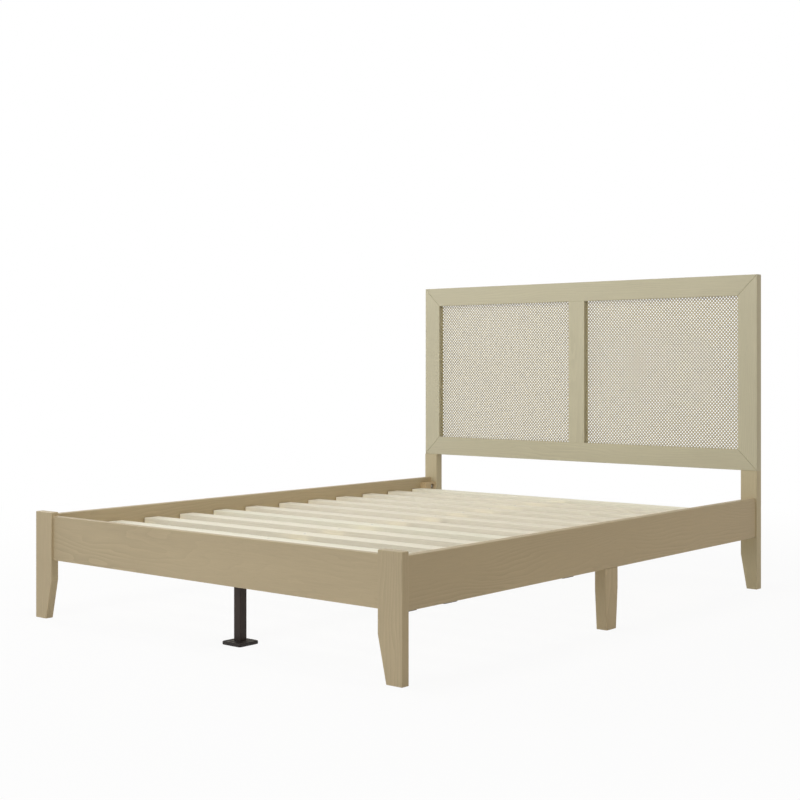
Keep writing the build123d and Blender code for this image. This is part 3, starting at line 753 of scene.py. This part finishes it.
class BED_OT_stained_timber(bpy.types.Operator):
    """Gives the rails, posts, legs and headboard frame their stained grain"""

    bl_idname = "bed.stained_timber"
    bl_label = "Stained timber"

    def execute(self, context):
        settings = context.scene.bed_timber
        for number, node in enumerate(nodes_in_slot("stained_wood")):
            colour = self.colour_of(node, settings)
            material = timber(f"stained {node}", "stained", colour, longest_axis(node), 100 + number,
                              settings)
            give(frame["nodes"][node], material)
        return {"FINISHED"}

    def colour_of(self, node, settings):
        """The colour of a node: the rails' stain, and for the headboard a paler, greyer one that is
        painted light, standing in for the brighter light that falls on it. Its legs lie between, painted
        light too, a blend of their lit top and shaded foot.
        """
        # Painted light: the headboard's paler colour and its legs' in-between one stand in for the
        # brighter light on the headboard.
        if node in HEADBOARD:
            return settings.headboard
        return settings.headboard_leg if node.startswith("headboard_leg") else settings.stained


class BED_OT_bare_timber(bpy.types.Operator):
    """Gives the slats, ledgers, centre beam, blocks and dowels their bare grain"""

    bl_idname = "bed.bare_timber"
    bl_label = "Bare timber"

    def execute(self, context):
        settings = context.scene.bed_timber
        for number, node in enumerate(nodes_in_slot("raw_wood")):
            colour = settings.blocks if node.startswith("corner_block") else settings.raw
            material = timber(f"bare {node}", "raw", colour, longest_axis(node), 300 + number, settings)
            give(frame["nodes"][node], material)
        return {"FINISHED"}


class BED_OT_weave_cane(bpy.types.Operator):
    """Weaves both cane panels strand by strand in the space of their flat sheets"""

    bl_idname = "bed.weave_cane"
    bl_label = "Weave cane"

    def execute(self, context):
        settings = context.scene.bed_cane
        for side in ("left", "right"):
            self.weave(side, settings)
        return {"FINISHED"}

    def weave(self, side, settings):
        """One panel: strands that rise to the right and strands that rise to the left."""
        node = f"cane_panel_{side}"
        low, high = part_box(node)
        middle = tuple((low + high) / 2)
        half_size = ((high.x - low.x) / 2, (high.z - low.z) / 2)
        for number, (kind, lean) in enumerate((("right_leaning", 1), ("left_leaning", -1))):
            points, quads, shape = woven(middle, half_size, lean, settings)
            material = cane_material(f"cane {side} {kind}", middle, lean,
                                     1000 * len(side) + 500 * number, settings)
            piece = mesh_piece(f"cane_{kind}_{side}", points, quads, BODY, "cane", material)
            strip_map(piece, shape, len(quads) - 2 * shape[0])
            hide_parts(node)


class BED_OT_coated_steel(bpy.types.Operator):
    """Coats the centre legs, the bracket and the joining plates"""

    bl_idname = "bed.coated_steel"
    bl_label = "Coated steel"

    def execute(self, context):
        material = skin("coated steel", context.scene.bed_metal.tube)
        for node in nodes_in_slot("dark_steel"):
            give(frame["nodes"][node], material)
        return {"FINISHED"}


class BED_OT_levelling_feet(bpy.types.Operator):
    """Moulds the four screw-in feet and finishes the plugs that hold them"""

    bl_idname = "bed.levelling_feet"
    bl_label = "Levelling feet"

    def execute(self, context):
        settings = context.scene.bed_metal
        material = skin("moulded plastic", settings.plastic)
        give(frame["nodes"]["leg_end_plugs"], material)
        for node, body in FOOT_BODIES.items():
            self.mould(node, body, material, settings)
        return {"FINISHED"}

    def mould(self, node, body, material, settings):
        """One foot: a square plate with a threaded stem."""
        low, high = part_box(node)
        centre = ((low.x + high.x) / 2, (low.y + high.y) / 2, 0.0)
        plate = foot_shell((high.x - low.x) / 2, PLATE_TOP)
        stem = threaded(ROD_RADIUS, PLATE_TOP - 1.0 * MM, high.z, settings.thread_pitch,
                        settings.thread_depth)
        vertices, quads = gather([plate, stem])
        piece = mesh_piece(node.replace("levelling_foot", "screw_foot"), vertices + np.array(centre),
                           quads, body, "dark_plastic", material, weld=True)
        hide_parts(node)


class BED_OT_fasteners(bpy.types.Operator):
    """Makes the bolts, nuts and screws with their threads and drive recesses"""

    bl_idname = "bed.fasteners"
    bl_label = "Fasteners"

    def execute(self, context):
        settings = context.scene.bed_metal
        material = skin("zinc plate", settings.zinc)
        give(frame["nodes"]["crescent_washers"], material)
        screws("slat_screws", "slat_screws_turned", material, *WOOD_THREAD)
        screws("wood_screws", "wood_screws_turned", material, *WOOD_THREAD)
        screws("centre_leg_bolts", "centre_leg_bolts_turned", material, settings.thread_pitch,
               BOLT_THREAD_DEPTH, socket_recess)
        self.rods(material, settings)
        self.nuts(material)
        return {"FINISHED"}

    def rods(self, material, settings):
        """Threaded rods in the places of the hanger bolts."""
        shells = []
        for points in islands("hanger_bolts"):
            start, direction, length = stem_of(points)
            rod = threaded(ROD_RADIUS, 0.0, length, settings.thread_pitch, settings.thread_depth)
            shells.append(stood(rod, start, direction))
        piece = mesh_piece("hanger_bolts_threaded", *gather(shells), BODY, "zinc_steel", material,
                           weld=True)
        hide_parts("hanger_bolts")

    def nuts(self, material):
        """Hexagon nuts in the places of the CAD ones."""
        shells = []
        for points in islands("hanger_nuts"):
            low, high = points.min(0), points.max(0)
            thickness = float(high[1] - low[1])
            apothem = float(min(high[0] - low[0], high[2] - low[2])) / 2
            middle = (low + high) / 2
            nut = nut_shell(apothem, NUT_BORE, thickness)
            shells.append(stood(nut, (middle[0], low[1], middle[2]), (0, 1, 0)))
        piece = mesh_piece("hanger_nuts_cut", *gather(shells), BODY, "zinc_steel", material,
                           smooth=False, weld=True)
        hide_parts("hanger_nuts")


# Each lamp's place and width.
LAMPS = {"front": ((0.0, -6.0, 1.2), 3.0), "left": ((-4.8, -0.5, 2.0), 3.0),
         "right": ((4.8, 0.5, 2.0), 3.0), "back": ((0.0, 5.0, 2.5), 3.0),
         "top": ((0.0, -0.9, 2.6), 1.2)}
LAMP_TARGET = (0.0, 0.0, 0.4)
WHITE = (1.0, 1.0, 1.0, 1.0)
# The floor is a grid of lines out to its reach, a hair under the feet.
FLOOR_REACH = 30.0
FLOOR_LINES = 5
FLOOR_DROP = 0.4 * MM
FLOOR_COLOUR = srgb(244, 243, 241) + (1.0,)
# Out to the near distance this share of the floor's white is its own, and all of it at the far one.
NEAR_FLOOR = 1.2
FAR_FLOOR = 4.0
NEAR_SHARE = 0.925


class BED_OT_studio(bpy.types.Operator):
    """Sets up the floor, the lamps, the white surround and the camera"""

    bl_idname = "bed.studio"
    bl_label = "Studio"

    def execute(self, context):
        settings = context.scene.bed_studio
        self.floor()
        self.surround(context.scene, settings.sky)
        for name, (place, size) in LAMPS.items():
            colour = settings.right_colour if name == "right" else WHITE[:3]
            self.lamp(f"{name} lamp", place, size, getattr(settings, name), colour)
        self.camera(context.scene, settings)
        context.scene.view_settings.view_transform = "Standard"
        return {"FINISHED"}

    def floor(self):
        """A pale floor. To the camera part of its white is its own, which keeps the shadow soft."""
        grid = np.linspace(-FLOOR_REACH, FLOOR_REACH, FLOOR_LINES)
        x, y = np.meshgrid(grid, grid, indexing="ij")
        points = np.stack([x, y, np.full_like(x, -FLOOR_DROP)], -1).reshape(-1, 3)
        first = np.arange(FLOOR_LINES - 1)
        corner = (first[:, None] * FLOOR_LINES + first[None, :]).ravel()
        quads = np.stack([corner, corner + FLOOR_LINES, corner + FLOOR_LINES + 1, corner + 1], -1)
        mesh = bpy.data.meshes.new("floor")
        mesh.from_pydata(points.tolist(), [], quads.tolist())
        floor = bpy.data.objects.new("floor", mesh)
        bpy.context.scene.collection.objects.link(floor)
        material, tree, shader = new_material("pale floor")
        shader.inputs["Base Color"].default_value = FLOOR_COLOUR
        shader.inputs["Roughness"].default_value = 0.9
        shader.inputs["Specular IOR Level"].default_value = 0.1
        glow = add_node(tree, "ShaderNodeEmission", {"Color": WHITE, "Strength": 1.0})
        place = add_node(tree, "ShaderNodeTexCoord").outputs["Object"]
        distance = add_node(tree, "ShaderNodeVectorMath", {0: place},
                            operation="LENGTH").outputs["Value"]
        share = spread(tree, distance, NEAR_FLOOR, FAR_FLOOR, NEAR_SHARE, 1.0)
        part = add_node(tree, "ShaderNodeMixShader",
                        {0: share, 1: shader.outputs[0], 2: glow.outputs[0]})
        choice = add_node(tree, "ShaderNodeMixShader",
                          {0: seen_rays(tree), 1: shader.outputs[0], 2: part.outputs[0]})
        output = next(node for node in tree.nodes if node.type == "OUTPUT_MATERIAL")
        tree.links.new(choice.outputs[0], output.inputs["Surface"])
        give(floor, material)
        floor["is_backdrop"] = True

    def surround(self, scene, strength):
        """White to the camera and an even soft light to everything else."""
        world = bpy.data.worlds.new("surround")
        world.use_nodes = True
        tree = world.node_tree
        tree.nodes.clear()
        output = tree.nodes.new("ShaderNodeOutputWorld")
        lit = add_node(tree, "ShaderNodeBackground", {"Color": WHITE, "Strength": strength})
        white = add_node(tree, "ShaderNodeBackground", {"Color": WHITE, "Strength": 1.0})
        choice = add_node(tree, "ShaderNodeMixShader",
                          {0: seen_rays(tree), 1: lit.outputs[0], 2: white.outputs[0]})
        tree.links.new(choice.outputs[0], output.inputs["Surface"])
        scene.world = world

    def lamp(self, name, place, size, power, colour):
        """A square soft lamp that points at the middle of the bed."""
        light = bpy.data.lights.new(name, "AREA")
        light.shape = "SQUARE"
        light.size = size
        light.energy = power
        light.color = colour
        lamp = bpy.data.objects.new(name, light)
        bpy.context.scene.collection.objects.link(lamp)
        lamp.location = place
        aim = Vector(LAMP_TARGET) - Vector(place)
        lamp.rotation_euler = aim.to_track_quat("-Z", "Y").to_euler()

    def camera(self, scene, settings):
        """A level camera with a lens shift, as the photograph was taken."""
        data = bpy.data.cameras.new("camera")
        data.sensor_width = 36.0
        data.lens = settings.lens_mm
        data.shift_y = settings.shift
        data.clip_end = 100.0
        camera = bpy.data.objects.new("camera", data)
        scene.collection.objects.link(camera)
        camera.location = (settings.camera_x, settings.camera_y, settings.camera_z)
        camera.rotation_euler = (radians(90.0), 0.0, settings.camera_turn)
        scene.camera = camera


def seen_rays(tree):
    """One for rays from the camera, from gloss and through glass, and zero for all others."""
    path = add_node(tree, "ShaderNodeLightPath")
    either = math_node(tree, "MAXIMUM", path.outputs["Is Camera Ray"], path.outputs["Is Glossy Ray"])
    return math_node(tree, "MAXIMUM", either, path.outputs["Is Transmission Ray"])


STEPS = (BED_OT_stained_timber, BED_OT_bare_timber, BED_OT_weave_cane, BED_OT_coated_steel,
         BED_OT_levelling_feet, BED_OT_fasteners, BED_OT_studio)


class BED_PT_sidebar(bpy.types.Panel):
    """Lists the steps that dress the bed"""

    bl_idname = "BED_PT_sidebar"
    bl_label = "Framed Cane Bed"
    bl_space_type = "VIEW_3D"
    bl_region_type = "UI"
    bl_category = "Bed"

    def draw(self, context):
        for step in STEPS:
            self.layout.operator(step.bl_idname)


GROUPS = {"bed_timber": TimberSettings, "bed_cane": CaneSettings, "bed_metal": MetalSettings,
          "bed_studio": StudioSettings}


def register():
    """Make the settings, steps and sidebar known."""
    for name, group in GROUPS.items():
        bpy.utils.register_class(group)
        setattr(bpy.types.Scene, name, PointerProperty(type=group))
    for step in STEPS:
        bpy.utils.register_class(step)
    bpy.utils.register_class(BED_PT_sidebar)


def unregister():
    """Take away what register added."""
    bpy.utils.unregister_class(BED_PT_sidebar)
    for step in reversed(STEPS):
        bpy.utils.unregister_class(step)
    for name, group in GROUPS.items():
        delattr(bpy.types.Scene, name)
        bpy.utils.unregister_class(group)


def corners():
    """The lowest and highest corner of what shows, as plain lists."""
    return [list(corner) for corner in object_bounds()]


def main():
    """Dress the bed step by step."""
    register()
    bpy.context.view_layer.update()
    for step in STEPS:
        group, name = step.bl_idname.split(".")
        getattr(getattr(bpy.ops, group), name)()


if __name__ == "__main__":
    main()
